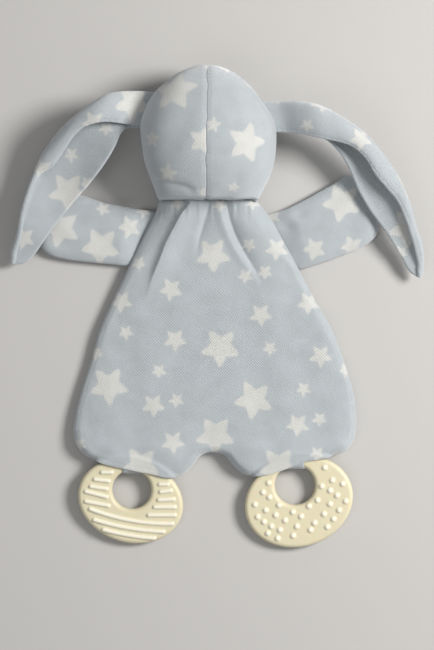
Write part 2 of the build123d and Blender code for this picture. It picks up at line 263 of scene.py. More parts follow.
def faces_of(pieces):
    """Middle, normal and area of every face of some pieces."""
    middle, normal, area = [], [], []
    for piece in pieces:
        polygons = piece.data.polygons
        m, n, a = np.zeros(len(polygons) * 3), np.zeros(len(polygons) * 3), np.zeros(len(polygons))
        polygons.foreach_get("center", m)
        polygons.foreach_get("normal", n)
        polygons.foreach_get("area", a)
        middle.append(m.reshape(-1, 3) / MM)
        normal.append(n.reshape(-1, 3))
        area.append(a)
    return np.concatenate(middle), np.concatenate(normal), np.concatenate(area)


def star_axes(n, tilt):
    """Two directions in the plane of a star: along its first point, and across."""
    down = np.array([0.0, -1.0, 0.0]) if abs(n[1]) < 0.9 else np.array([0.0, 0.0, -1.0])
    a = down - n * (down @ n)
    a /= np.linalg.norm(a)
    b = np.cross(n, a)
    return a * math.cos(tilt) + b * math.sin(tilt), b * math.cos(tilt) - a * math.sin(tilt)


def stars_on(pieces, seen=(), unseen=-0.15, seed=1, turned=0.0, level=1.0):
    """Choose where the stars are on pieces cut from one layer.
    seen are (x, y, radius) from above; the rest are scattered wherever the normal's z is below unseen.
    The higher level is, the more a seen star keeps its shape from above where the cloth is steep."""
    chance = np.random.default_rng(seed)
    middle, normal, area = faces_of(pieces)
    count = len(middle)
    printed = np.concatenate([piece_print[p.name] for p in pieces])
    stars = []

    def add_star(face, radius, lift=0.0):
        n = normal[face] + np.array([0.0, 0.0, lift])
        n /= np.linalg.norm(n)
        along, across = star_axes(n, math.radians(turned + chance.uniform(-7.0, 7.0)))
        stars.append((middle[face], along / radius, across / radius, radius, n))

    up = printed & (normal[:, 2] > 0.12)
    shown = EYE[:2] + (middle[:, :2] - EYE[:2]) * ((EYE[2] - DRAWN) / (EYE[2] - middle[:, 2:]))
    for x, y, radius in seen:
        far = np.hypot(shown[:, 0] - x, shown[:, 1] - y) - 0.02 * middle[:, 2]
        add_star(int(np.argmin(np.where(up, far, 1e9))), radius, level)
    if unseen is not None:
        share = np.where(printed & (normal[:, 2] < unseen), area, 0.0)
        share /= share.sum()
        for face in chance.choice(count, TRIES, p=share):
            radius = chance.choice([BIG, MID, SMALL, SMALL])
            if all(np.linalg.norm(middle[face] - s[0]) > s[3] + radius + GAP for s in stars):
                add_star(int(face), radius * chance.uniform(0.92, 1.06))
    at = np.tile([1e4, 1e4, 0.0], (count, 1))
    side_a, side_b = np.tile([1.0, 0.0, 0.0], (count, 1)), np.tile([0.0, 1.0, 0.0], (count, 1))
    closest = np.full(count, 1e9)
    for centre, a, b, radius, n in stars:
        far = np.linalg.norm(middle - centre, axis=1) / radius
        take = printed & (far < closest) & (far < NEAR) & (normal @ n > 0.05)
        at[take], side_a[take], side_b[take], closest[take] = centre, a, b, far[take]
    first = 0
    for piece in pieces:
        last = first + len(piece.data.polygons)
        for label, values in (("star_at", at), ("star_a", side_a), ("star_b", side_b)):
            layer = piece.data.attributes.new(label, "FLOAT_VECTOR", "FACE")
            layer.data.foreach_set("vector", values[first:last].astype(np.float32).ravel())
        first = last


# ================================================================ materials
GROUND = (0.446, 0.490, 0.520, 1.0)
STAR = (0.630, 0.638, 0.622, 1.0)
RIDGE_HIGHLIGHT = (0.86, 0.83, 0.70, 1.0)  # painted highlight: a lighter colour painted on the tops of the rings' ridges and dots
NAP, TUFT, FIBRE, SPECK = 0.11, 0.4, 1.5, 3.4  # scales of the pile's noises, coarse to fine
TWILL = 3.5  # radians per millimetre along x and along y: a rib every 1.27 mm
TWILL_WAY = (0.707, 0.707, 0.0)
POINTS = 5


class Graph:
    """The nodes of one new material, ending in a Principled shader."""

    def __init__(self, name):
        self.material = bpy.data.materials.new(name)
        self.material.use_nodes = True
        self.nodes, self.links = self.material.node_tree.nodes, self.material.node_tree.links
        self.nodes.clear()
        output = self.nodes.new("ShaderNodeOutputMaterial")
        self.shader = self.nodes.new("ShaderNodeBsdfPrincipled")
        self.links.new(self.shader.outputs[0], output.inputs[0])

    def put(self, socket, value):
        """Link a socket to an output, or set it."""
        if hasattr(value, "links"):
            self.links.new(value, socket)
        else:
            socket.default_value = value

    def shade(self, **values):
        """Set the shader's sockets; a low line in a name stands for a space."""
        for name, value in values.items():
            self.put(self.shader.inputs[name.replace("_", " ")], value)

    def maths(self, operation, *values):
        node = self.nodes.new("ShaderNodeMath")
        node.operation = operation
        for socket, value in zip(node.inputs, values):
            self.put(socket, value)
        return node.outputs[0]

    def vectors(self, operation, *values):
        node = self.nodes.new("ShaderNodeVectorMath")
        node.operation = operation
        for socket, value in zip(node.inputs, values):
            self.put(socket, value)
        return node.outputs["Value" if operation in ("DOT_PRODUCT", "LENGTH") else "Vector"]

    def scaled(self, vector, scale):
        node = self.nodes.new("ShaderNodeVectorMath")
        node.operation = "SCALE"
        self.put(node.inputs[0], vector)
        self.put(node.inputs["Scale"], scale)
        return node.outputs[0]

    def swing(self, noise, amount):
        """A noise made to swing about 0."""
        return self.maths("MULTIPLY", self.maths("SUBTRACT", noise, 0.5), amount)

    def attribute(self, label, output="Vector"):
        node = self.nodes.new("ShaderNodeAttribute")
        node.attribute_name = label
        return node.outputs[output]

    def noise(self, place, scale, detail):
        node = self.nodes.new("ShaderNodeTexNoise")
        self.put(node.inputs["Vector"], place)
        node.inputs["Scale"].default_value = scale
        node.inputs["Detail"].default_value = detail
        return node.outputs[0]

    def ranged(self, value, low, high, to=(0.0, 1.0), interpolation="LINEAR"):
        node = self.nodes.new("ShaderNodeMapRange")
        node.interpolation_type = interpolation
        self.put(node.inputs["Value"], value)
        node.inputs["From Min"].default_value = low
        node.inputs["From Max"].default_value = high
        node.inputs["To Min"].default_value, node.inputs["To Max"].default_value = to
        return node.outputs[0]

    def mixed(self, factor, a, b):
        node = self.nodes.new("ShaderNodeMix")
        node.data_type = "RGBA"
        for name, value in (("Factor", factor), ("A", a), ("B", b)):
            self.put(node.inputs[name], value)
        return node.outputs["Result"]

    def bumped(self, height, distance, strength):
        node = self.nodes.new("ShaderNodeBump")
        self.put(node.inputs["Height"], height)
        node.inputs["Distance"].default_value = distance
        node.inputs["Strength"].default_value = strength
        self.put(self.shader.inputs["Normal"], node.outputs[0])


def star_mask(graph, rest, tuft, fibre):
    """1 inside a face's star and 0 outside it, with an edge that the pile blurs."""
    maths, vectors = graph.maths, graph.vectors
    away = vectors("SUBTRACT", rest, graph.attribute("star_at"))
    a, b = graph.attribute("star_a"), graph.attribute("star_b")
    along, across = vectors("DOT_PRODUCT", away, a), vectors("DOT_PRODUCT", away, b)
    radius = maths("DIVIDE", 1.0, vectors("LENGTH", a))
    squares = maths("MULTIPLY", along, along), maths("MULTIPLY", across, across)
    out = maths("SQRT", maths("ADD", *squares))
    turn = maths("DIVIDE", maths("ABSOLUTE", maths("ARCTAN2", across, along)), math.pi / POINTS)
    point = maths("SUBTRACT", 1.0, maths("PINGPONG", turn, 1.0))
    reach = maths("ADD", maths("MULTIPLY", maths("POWER", point, 1.7), 0.46), 0.54)
    reach = maths("MINIMUM", reach, 0.93)
    depth = maths("MULTIPLY", maths("SUBTRACT", reach, out), radius)
    depth = maths("ADD", depth, graph.swing(fibre, 2.0))
    depth = maths("ADD", depth, graph.swing(tuft, 2.0))
    return graph.ranged(depth, -0.9, 1.5, interpolation="SMOOTHSTEP")


def velour(name):
    """Short pile velour, grey blue, with off-white stars."""
    graph = Graph(name)
    maths, vectors = graph.maths, graph.vectors
    rest = graph.attribute("rest")
    nap, tuft = graph.noise(rest, NAP, 3.0), graph.noise(rest, TUFT, 2.0)
    fibre, speck = graph.noise(rest, FIBRE, 3.0), graph.noise(rest, SPECK, 2.0)
    across_twill = vectors("DOT_PRODUCT", rest, (TWILL, TWILL, 0.0))
    twill = maths("SINE", maths("ADD", across_twill, maths("MULTIPLY", tuft, 5.0)))
    normal = graph.nodes.new("ShaderNodeNewGeometry").outputs["Normal"]
    end_on = maths("ABSOLUTE", vectors("DOT_PRODUCT", normal, TWILL_WAY))
    twill = maths("MULTIPLY", twill, maths("SUBTRACT", 1.0, maths("POWER", end_on, 1.5)))
    tone = maths("ADD", graph.swing(nap, 0.22), 1.0)
    for more in (graph.swing(fibre, 0.55), graph.swing(speck, 0.3), maths("MULTIPLY", twill, 0.06)):
        tone = maths("ADD", tone, more)
    colour = graph.mixed(star_mask(graph, rest, tuft, fibre), GROUND, STAR)
    pile = maths("ADD", maths("MULTIPLY", fibre, 0.6), maths("MULTIPLY", speck, 0.6))
    pile = maths("ADD", pile, maths("MULTIPLY", twill, 0.09))
    graph.bumped(pile, 0.0009, 0.7)
    graph.shade(Base_Color=graph.scaled(colour, tone), Roughness=0.92, Specular_IOR_Level=0.12)
    graph.shade(Sheen_Weight=1.0, Sheen_Roughness=0.5, Sheen_Tint=(0.92, 0.95, 1.0, 1.0))
    return graph.material


def plain(name, colour, roughness, scale, depth, vary, raised=None, **sockets):
    """One colour with fine unevenness in tone and surface. raised is the colour of a painted highlight,
    mixed in by a per-point mask where detail stands up.
    """
    graph = Graph(name)
    place = graph.nodes.new("ShaderNodeTexCoord").outputs["Object"]
    grain = graph.noise(place, scale, 4.0)
    tone = graph.ranged(grain, 0.25, 0.75, (1.0 - vary, 1.0 + vary))
    shown = graph.scaled(colour, tone)
    if raised is not None:
        # painted highlight: the lighter colour goes where the per-point mask says the surface stands up
        shown = graph.mixed(graph.attribute("highlight_mask", "Fac"), shown, raised)
    graph.bumped(grain, depth, 0.5)
    graph.shade(Base_Color=shown, Roughness=roughness, **sockets)
    return graph.material


VELOUR = velour("velour_print")
STUFFING = plain("stuffing", (0.86, 0.86, 0.84), 0.95, 900.0, 0.001, 0.06)
CAPSULE = plain("capsule_plastic", (0.85, 0.86, 0.87), 0.35, 200.0, 0.0001, 0.01)
BEAD = plain("bead_plastic", (0.80, 0.30, 0.25), 0.3, 200.0, 0.0001, 0.02)
THREAD = plain("embroidery_thread", (0.10, 0.11, 0.13), 0.6, 2500.0, 0.0004, 0.2)
# the rings' rubber, with a painted highlight on the tops of its ridges and dots
RUBBER = plain("teether_rubber", (0.70, 0.65, 0.465), 0.4, 260.0, 0.00012, 0.015, RIDGE_HIGHLIGHT,
               Subsurface_Weight=0.12, Subsurface_Scale=0.004, Specular_IOR_Level=0.35)

# ================================================================ body
BODY_LEFT = [(-36.4, 69.9), (-39, 62.7), (-48.1, 44.5), (-57.9, 24.4), (-68.3, 2.3), (-76, -15.3),
             (-81.3, -34.1), (-87.1, -52.3), (-91.7, -69.9), (-93, -80)]
BODY_RIGHT = [(26, 69.9), (33.8, 60.8), (43.5, 44.3), (54, 25), (61.8, 10.1), (74.8, -12.7),
              (84.5, -38), (91, -62.7), (91.7, -75)]
HEM = [(-93, -80), (-91, -89.4), (-85.8, -95.9), (-74.8, -101.1), (-59.2, -105), (-42.9, -108.2),
       (-28.6, -110.8), (-22.1, -108.9), (-15, -103), (-9.8, -96.5), (-3.3, -94.6), (4.6, -95.9),
       (12.4, -104.3), (19.5, -109.5), (28.6, -109.5), (44.2, -105.6), (57.9, -100.4),
       (72.2, -97.8), (78.6, -95.9), (85.8, -92.6), (90.4, -84.8), (91.7, -75)]
NECK = [(-36.4, 69.9), (-5, 70.3), (26, 69.9)]
# Heights of the back's middle along the body, how far a place is beside an arm, and the folds' lines.
BODY_TOP = [(72, 22.0), (66, 20.0), (59, 17.3), (49, 14.4), (30, 11.6), (0, 10.2), (-62, 9.6),
            (-84, 11.0), (-93, 12.8), (-100, 13.0), (-112, 12.2)]
ARM_ZONE = [(20, 0), (26, 1), (62, 1), (66, 0.3), (70, 0)]
FOLD_A = [(67.5, -16.9), (60.2, -22.9), (50.2, -28.2), (41.6, -32.8), (31, -36.8), (19.8, -41.5),
          (5, -46)]
FOLD_B = [(68.8, -3.6), (56.2, -7), (47.1, -9.8), (36, -12)]
FOLD_C = [(67.5, 7), (57.5, 9), (48.2, 12.3), (38.9, 16.9), (32.3, 20.8), (23, 26.7), (14, 31)]
HEM_CUT = -97.0  # below this y the back is in two strips
STITCH_IN = 2.6  # the stitch line's distance from an edge

# Each ring: hinge y, centre, half axes and turn of its outline, centre and radius of its hole, tilt.
RINGS = {
    "left": (-102.0, (-55.7, -125.9), (34.7, 27.5), -16.0, (-54.9, -118.6), 12.7, 4.43),
    "right": (-99.2, (54.0, -126.4), (35.8, 29.6), 18.5, (51.4, -115.6), 13.1, 3.98),
}
HINGE_Z = 7.4
RING_HALF = 3.5

u, v = spread(230, 0.75), spread(190, 0.6)
neck, hem = line(NECK, u), line(HEM, u)
left, right = line(BODY_LEFT, v), line(BODY_RIGHT, v)
flat_body = coons(neck, hem, left, right, u, v)
X, Y = flat_body[..., 0], flat_body[..., 1]
fine = np.linspace(0, 1, 700)
outline = [line(BODY_LEFT, fine), line(HEM, fine), line(BODY_RIGHT, fine)]
D = edge_distance(flat_body, outline)
D_neck = line_distance(flat_body, NECK)


def over_rings(x, y):
    """How far a place is over a ring's band (0 to 1) and over its hole, and the band's top there."""
    band, inside, top = np.zeros_like(x), np.zeros_like(x), np.zeros_like(x)
    for hinge, centre, axes, turn, hole, radius, tilt in RINGS.values():
        c, s = math.cos(math.radians(turn)), math.sin(math.radians(turn))
        px, py = x - centre[0], y - centre[1]
        q = np.hypot((px * c + py * s) / axes[0], (py * c - px * s) / axes[1])
        out = (q - 1.0) * min(axes)
        hollow = np.hypot(x - hole[0], y - hole[1]) - radius
        on = ease((3.6 - out) / 2.6) * ease((hollow + 3.0) / 2.4)
        band = np.maximum(band, on)
        inside = np.maximum(inside, ease((0.5 - hollow) / 3.0))
        near = HINGE_Z + RING_HALF + (y - hinge) * math.tan(math.radians(tilt))
        top = np.where(np.abs(x - centre[0]) < 45, near, top)
    return band, inside, top


band, in_hole, ring_top = over_rings(X, Y)
arm_zone = np.interp(Y, *zip(*ARM_ZONE))
# The seam's height, over the rings at the hem and up to the head at the neck, and the dome above it.
at_hem = ease((-86.0 - Y) / 8.0)
to_neck = ease((Y - 60.0) / 10.0)
edge_back = 5.0 + 0.6 * arm_zone + 4.6 * to_neck
hem_back = 4.0 + 2.0 * in_hole
hem_back += band * (ring_top + 1.9 - hem_back)
edge_back += at_hem * (hem_back - edge_back)
round_off = 5.2 + 20.0 * ease((Y - 25.0) / 42.0) - 0.4 * at_hem
crest = height(BODY_TOP, Y)
rise = 0.6 * dome(D, round_off) + 0.4 * dome(D, 16.0 + round_off)
Z = edge_back + (np.maximum(crest, edge_back + 0.5) - edge_back) * rise

# Folds that fan out from the neck: A stands up, B and C sink in. Nothing wrinkles at the seams.
quiet = ease(D / 9.0)
side_a = X - np.interp(Y, *zip(*sorted(FOLD_A)))
flank_a = np.where(side_a < 0, np.exp(side_a / 2.4), bell(side_a, 10.0))
Z += 4.0 * ease((Y - 2.0) / 30.0) * quiet * flank_a
side_b = X - np.interp(Y, *zip(*sorted(FOLD_B)))
flank_b = np.where(side_b < 0, bell(side_b, 2.5), np.exp(-side_b / 4.0))
Z -= 2.2 * ease((Y - 30.0) / 24.0) * flank_b
side_c = X - np.interp(Y, *zip(*sorted(FOLD_C)))
flank_c = np.where(side_c < 0, bell(side_c, 2.6), np.exp(-side_c / 4.4))
flank_c = 3.8 * flank_c - 0.9 * bell(side_c + 5.5, 3.5)
Z -= ease((Y - 10.0) / 34.0) * quiet * flank_c
# Gathers at the neck, the cloth's own unevenness, the stitch line and the seam to the head.
gather = np.sin((X + 5.0) * 0.92 + 0.5 * np.sin(X * 0.37)) + 0.6 * np.sin(X * 1.7 + 1.0)
Z += 0.2 * gather * ease((Y - 52.0) / 16.0) * quiet
Z += ripple(X, Y, 0.8, (46, 61, 38, 83, 29), 5) * quiet
Z += ripple(X, Y, 0.2, (17, 21, 26, 14), 8) * quiet
Z -= 0.9 * bell(np.hypot((X + 7.0) / 7.0, (Y + 86.0) / 6.0), 1.0)  # a pucker over the notch
Z -= 0.12 * bell(D - STITCH_IN, 0.9) * (1.0 - to_neck)
Z -= 1.9 * np.exp(-D_neck / 1.5)
Z = np.maximum(Z, band * (ring_top + 1.7))
back = np.dstack([X, Y, Z])

# The front layer lies on the floor, with its seams raised.
edge_front = 4.5 - 2.3 * arm_zone + 4.5 * to_neck
hem_front = 3.6 - 1.2 * np.maximum(band, in_hole)
edge_front += at_hem * (hem_front - edge_front)
low = 0.15 + 2.2 * ease((Y - 60.0) / 10.0)
front_round = 4.5 + 20.0 * ease((Y - 35.0) / 34.0)
Z_front = edge_front - (edge_front - low) * dome(D, front_round)
Z_front += 0.25 * bell(D - STITCH_IN, 0.9) + 1.2 * np.exp(-D_neck / 1.5)
front = np.dstack([X, Y, Z_front])


def thickness(d):
    """A layer's thickness at the distance d from its edge."""
    return CUT + (CLOTH - CUT) * np.clip(d / CUT_RUN, 0.0, 1.0)


def inward(grid, d, way):
    """The inner side of one layer."""
    return grid + way * facing(grid) * thickness(d)[..., None]


back_way = -1.0 if facing(back)[len(u) // 2, len(v) // 2, 2] > 0 else 1.0
back_inner = inward(back, D, back_way)
front_inner = inward(front, D, -back_way)
BODY_STARS = [(-2, 34, 12.4), (2.5, -26.5, BIG), (-69.5, -50.5, BIG), (24, -60, BIG), (0, -83, BIG),
              (-49.5, -103, BIG), (41, -103, BIG), (-29, 11.5, MID), (-26.5, -22, MID),
              (-62, 3.5, MID), (29, -5, MID), (60, 3, MID), (39.5, 37.5, MID), (68, -32, MID),
              (-40.5, -64, MID), (53.5, -76.5, MID), (-28, -87.5, MID), (-50, 29, SMALL),
              (19, 20.5, SMALL), (32, 23, SMALL), (21, 40.5, SMALL), (-58.5, -16.5, SMALL),
              (-37, -41.5, SMALL), (-25.5, -60, SMALL), (35, -27, SMALL), (57, -53, SMALL),
              (67.5, -73, SMALL), (-89, -89.5, SMALL), (65.5, -95, SMALL), (84.5, -40.5, SMALL),
              (-78, -29.5, SMALL), (2.5, 66.5, SMALL), (-24.5, 67.5, SMALL), (24, 68, SMALL)]

back_normals = -back_way * facing(back).reshape(-1, 3)
inner_normals = back_way * facing(back_inner).reshape(-1, 3)
all_normals = np.concatenate([back_normals, inner_normals])
middle = (back[:-1, :-1] + back[1:, 1:]) / 2
part_of = np.where(middle[..., 1] > HEM_CUT, 0, np.where(middle[..., 0] < -4.0, 1, 2))
body_pieces = []
for number, name in enumerate(("body_back_panel", "body_back_hem_left", "body_back_hem_right")):
    cells = part_of == number
    points, quads = shell(back, back_inner, cells)
    if signed_volume(points, quads) < 0:
        quads = quads[:, ::-1]
    piece = new_piece(name, points, quads, VELOUR, int(cells.sum()), all_normals)
    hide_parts("body_back")
    body_pieces.append(piece)
stars_on(body_pieces, BODY_STARS, None, 4, turned=-3.0, level=12.0)

front_piece = printed_piece("body_front_panel", (front, front_inner), "body_front", middle[..., 0].size)
stars_on([front_piece], (), EVERYWHERE, 21)

# The wadding keeps clear of both layers, and ends short of the rings.
WAD_SHRINK = 0.045
WAD_END = -93.0
fluff = ripple(X, Y, 0.25, (7, 9, 12, 5), 3)
wad_top = np.maximum(Z - CLOTH - 0.9, Z_front + CLOTH + 1.0) + fluff - 0.25
wad_low = np.minimum(Z_front + CLOTH + 0.6, wad_top - 0.3)
wad_flat = flat_body + (np.array([-5.0, -10.0]) - flat_body) * WAD_SHRINK
wad_flat[..., 1] = np.maximum(wad_flat[..., 1], WAD_END)
wad_top = np.minimum(wad_top, wad_low + 0.4 + 9.0 * dome(D, 9.0))
wad_grids = np.dstack([wad_flat, wad_top]), np.dstack([wad_flat, wad_low])
wadding = stuffing_piece("body_wadding_batt", wad_grids, "body_wadding")

LOOP_WIDE = 10.5
LOOP_OUTER, LOOP_INNER = 5.95, 4.85  # from the hinge line
LOOP_FLAT = 0.9  # its height as a share of its depth, so that it stays under the hem


def loop_strip(name, side):
    """The strip that goes through a ring's hole and round its band."""
    hinge, _, _, _, hole, _, _ = RINGS[side]
    angle, across = np.linspace(math.radians(62), math.radians(268), 60), spread(28, 0.5)
    wide = LOOP_WIDE + 2.0 * np.abs(np.cos(angle))
    dip = 0.55 * (1.0 - dome(np.minimum(across, 1 - across) * LOOP_WIDE, 1.4))
    layers = []
    for far, narrow in ((LOOP_OUTER - dip, 0.0), (np.full(len(across), LOOP_INNER), 0.3)):
        x = hole[0] + (across[None] - 0.5) * (wide[:, None] - narrow)
        y = hinge + np.cos(angle)[:, None] * far[None]
        z = HINGE_Z + np.sin(angle)[:, None] * far[None] * LOOP_FLAT
        layers.append(np.dstack([x, y, z]))
    piece = printed_piece(name, layers, "body_back")
    stars_on([piece], (), None, 3)
    return piece


loops = [loop_strip("foot_loop_left", "left"), loop_strip("foot_loop_right", "right")]

# ================================================================ head
# Sections along the head: middle x, y, half width, middle height, half height.
HEAD = [(-5.0, 69.6, 31.4, 13.0, 11.0), (-5.0, 69.8, 31.9, 17.6, 15.4), (-4.9, 70.7, 32.7, 20.8, 17.8),
        (-4.7, 73.5, 34.0, 22.9, 19.4), (-4.4, 77.0, 35.5, 24.8, 20.9), (-4.2, 82.5, 37.9, 27.0, 23.0),
        (-4.1, 92.5, 41.2, 28.8, 26.2), (-4.4, 104.0, 43.4, 29.3, 28.4), (-5.3, 116.0, 43.8, 29.3, 29.0),
        (-6.4, 129.0, 38.8, 28.8, 27.0), (-7.0, 139.0, 32.3, 28.2, 23.5), (-6.5, 146.0, 24.8, 27.6, 18.5),
        (-6.0, 151.4, 17.2, 27.2, 13.0), (-5.9, 155.2, 8.8, 27.0, 6.6), (-5.9, 156.2, 3.6, 27.0, 2.6),
        (-5.9, 156.4, 0.02, 27.0, 0.02)]
SEAM_X, SEAM_Z = -5.9, 28.8
HEAD_ROWS = 170
HEAD_MIDDLE = np.array([-5.4, 112.0, 28.0])
SQUARE = 2.15  # the power of the head's section: 2 would be round
CREASE = [(-42, 81.0), (-33, 79.8), (-24, 77.4), (-15, 74.8)]
head_line = line(HEAD, spread(HEAD_ROWS, 0.35))
cx, hy, half_w, cz, half_h = head_line.T
side_z = SEAM_Z - np.clip(116.0 - hy, 0, None) * (18.8 / 56.0)
side_turn = np.arccos(np.clip((side_z - cz) / half_h, -0.75, 0.75))
right_z = side_z + 4.5 * ease((hy - 118.0) / 12.0)
right_turn = np.arccos(np.clip((right_z - cz) / half_h, -0.75, 0.75))
seam_x = SEAM_X + 0.2 * np.sin(hy / 3.1) + 0.15 * np.sin(hy / 1.7)
mid_turn = np.arcsin(np.clip((seam_x - cx) / np.maximum(half_w, 1.0), -0.5, 0.5))


def head_grid(start, end, cols, crowd=0.6):
    """Part of the head's surface between two angles from straight up, which vary along the head."""
    turn = start[:, None] + (end - start)[:, None] * spread(cols, crowd)[None]
    bulge = 2.0 / SQUARE
    sx, sz = np.sign(np.sin(turn)), np.sign(np.cos(turn))
    x = cx[:, None] + half_w[:, None] * sx * np.abs(np.sin(turn)) ** bulge
    z = cz[:, None] + half_h[:, None] * sz * np.abs(np.cos(turn)) ** bulge
    return np.dstack([x, np.repeat(hy[:, None], cols, 1), z])


def along_cols(grid):
    """How far each point is from both ends of its row, along the surface."""
    step = np.linalg.norm(np.diff(grid, axis=1), axis=-1)
    run = np.concatenate([np.zeros((grid.shape[0], 1)), np.cumsum(step, 1)], 1)
    return run, run[:, -1:] - run


def head_panel(name, node, start, end, cols, groove, seed, seen=(), unseen=-0.15):
    grid = head_grid(start, end, cols)
    run, left_over = along_cols(grid)
    n = facing(grid)
    if ((grid - HEAD_MIDDLE) * n).sum() < 0:
        n = -n
    n[-3:] = n[-4:-3]  # the last rows meet in a point, where a normal means nothing
    push = -groove[0] * np.exp(-run / 0.8) - groove[1] * np.exp(-left_over / 0.8)
    stitch = 0.5 + 0.5 * np.cos(2 * np.pi * grid[..., 1] / 2.7)
    push -= 0.3 * stitch * (bell(run - 1.6, 0.9) + bell(left_over - 1.6, 0.9))
    push += ripple(grid[..., 0] * 1.1, grid[..., 1] + grid[..., 2] * 0.6, 0.55, (23, 34, 46, 18), 9)
    reach = np.where(grid[..., 2] > 14, 1.0, 0.0) * ease((-11.0 - grid[..., 0]) / 8.0)
    reach = reach * ease((n[..., 2] - 0.15) / 0.5)
    push -= 1.1 * reach * bell(line_distance(grid, CREASE), 2.3)
    push *= ease((158.0 - grid[..., 1]) / 6.0)
    outer = grid + n * push[..., None]
    inner = outer - n * thickness(np.minimum(run, left_over))[..., None]
    piece = printed_piece(name, (outer, inner), node, (HEAD_ROWS - 1) * (cols - 1))
    stars_on([piece], seen, unseen, seed, turned=27.0)
    return piece


HEAD_LEFT_STARS = [(-26.5, 141.5, 16.0), (-8.5, 108, 10.0), (-42, 109, 6.4), (-31, 87, 7.2),
                   (-8.5, 75, 4.6)]
HEAD_RIGHT_STARS = [(20, 107, BIG), (-2, 118.5, 5.6), (11, 78, 4.6)]
head_pieces = [
    head_panel("head_back_left_panel", "head_back_left", mid_turn, -side_turn, 90,
               (0.7, 0.6), 31, HEAD_LEFT_STARS),
    head_panel("head_back_right_panel", "head_back_right", right_turn, mid_turn, 90,
               (0.6, 0.7), 32, HEAD_RIGHT_STARS),
    head_panel("head_face_panel", "head_face", -side_turn + 2 * np.pi, right_turn, 170,
               (0.6, 0.6), 36, (), -0.5),
]


def on_face(x, y):
    """Height of the face, on the underside of the head."""
    order = np.argsort(hy)
    at = [np.interp(y, hy[order], part[order]) for part in (cx, half_w, cz, half_h)]
    across = np.clip(np.abs(x - at[0]) / at[1], 0, 0.999)
    return at[2] - at[3] * (1.0 - across**SQUARE) ** (1 / SQUARE)


def stitched(name, node, centre, half_x, half_y, corner, high=0.75):
    """A raised patch of satin stitch on the face."""
    ring, around = spread(16, 0.3), np.linspace(0, 2 * np.pi, 49)
    ca, sa = np.cos(around), np.sin(around)
    px = np.sign(ca) * np.abs(ca) ** corner * half_x
    py = np.sign(sa) * np.abs(sa) ** corner * half_y
    x = centre[0] + ring[:, None] * px[None]
    y = centre[1] + ring[:, None] * py[None]
    lift = high * dome(1.0 - ring, 0.6)[:, None] * (1.0 + 0.12 * np.sin(2 * np.pi * y / 0.55))
    base = on_face(x, y) + 0.25
    grids = np.dstack([x, y, base - lift - 0.1]), np.dstack([x, y, base])
    piece = new_piece(name, *shell(*grids), THREAD)
    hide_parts(node)
    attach(piece, "head")
    return piece


stitched("eye_left_satin", "eye_left", (-22.2, 110.0), 2.6, 3.2, 1.0)
stitched("eye_right_satin", "eye_right", (11.8, 110.0), 2.6, 3.2, 1.0)
stitched("nose_satin", "nose", (-5.2, 96.5), 5.0, 3.2, 0.85)
stitched("mouth_satin", "mouth", (-5.2, 88.5), 0.75, 3.5, 0.7, 0.6)

# ================================================================ ears
# From above: the fold, the edge that lies flat and the edge that is turned over, from root to tip.
EARS = {
    "left": {
        "fold": [(-36, 139.5), (-43, 140.3), (-53.3, 140.7), (-70.2, 138.8), (-82.6, 131.6),
                 (-94.3, 122.5), (-105.3, 110.8), (-113.1, 99.1), (-120.3, 82.2), (-126.1, 64.7),
                 (-129.4, 48.4),
                 (-133.3, 34.1), (-133.0, 30.0), (-131.3, 28.3)],
        "inner": [(-44.5, 117.0), (-52, 116.7), (-58, 116.3), (-62, 112.5), (-65, 105.6), (-70.2, 96.5),
                  (-80.6, 82.2), (-89, 72.5), (-101.4, 57.5), (-113.1, 41.3), (-118.3, 34.1),
                  (-125.5, 28.3), (-131.2, 28.2)],
        "over": [(-44.5, 118.2), (-52, 118.4), (-61.1, 119.6), (-72.2, 120.9), (-81, 119.6),
                 (-86.8, 117.3), (-93.3, 111.8), (-99.5, 102.4), (-106, 92.6), (-115.4, 86.1),
                 (-122.9, 69.9),
                 (-127.4, 53.6), (-130, 40.6), (-131.9, 31), (-131.25, 28.25)],
        "lean": [(0, 0), (0.25, 0.5), (0.5, 3.0), (0.8, 3.5), (1, 0)],
        "outer_stars": [(-54, 132.5, 14.0), (-79.5, 120.5, MID), (-113, 90, MID)],
        "lining_stars": [(-96, 75.5, BIG), (-84, 80.5, SMALL), (-125, 45, MID), (-71.5, 116.5, SMALL),
                         (-94, 99, SMALL)],
    },
    "right": {
        "fold": [(26, 133.5), (32, 133.8), (38.4, 133.9), (54.6, 134), (62.7, 132.9), (70.9, 130),
                 (80.6, 124.8), (90.4, 118.6), (100.1, 110.5), (108.2, 100.8), (116.4, 89.4),
                 (122.9, 76.4), (127.7, 63.4),
                 (131, 50.4), (133.9, 42.3), (135.1, 32.5), (134.8, 25), (133.5, 21), (131, 20)],
        "inner": [(33, 116), (42, 115.8), (56, 114.5), (66, 111.8), (72.8, 108), (79.3, 101.7),
                  (87.1, 88.7),
                  (91, 79), (100.1, 62.7), (109.2, 50.4), (120.3, 32.8), (126.8, 22.4), (130.9, 19.95)],
        "over": [(33, 114.2), (42, 114), (54.6, 113.2), (62.7, 111.7), (72.5, 109.6), (80.6, 108),
                 (87.9, 105.6), (93.6, 101.5), (98.5, 95.9), (103.4, 86.8), (110.5, 77.7),
                 (118, 68.6), (122.9, 57.5),
                 (126.8, 45.8), (129.7, 34.8), (131.6, 25.7), (130.95, 20.0)],
        "lean": [(0, 0), (0.25, 0), (0.42, 4.5), (0.55, 7), (0.75, 6.5), (0.9, 3.5), (1, 0.5)],
        "outer_stars": [(59, 118.5, 5.0), (68, 131.5, MID), (94, 109.5, MID)],
        "lining_stars": [(125, 51, BIG), (120, 35.5, SMALL)],
    },
}
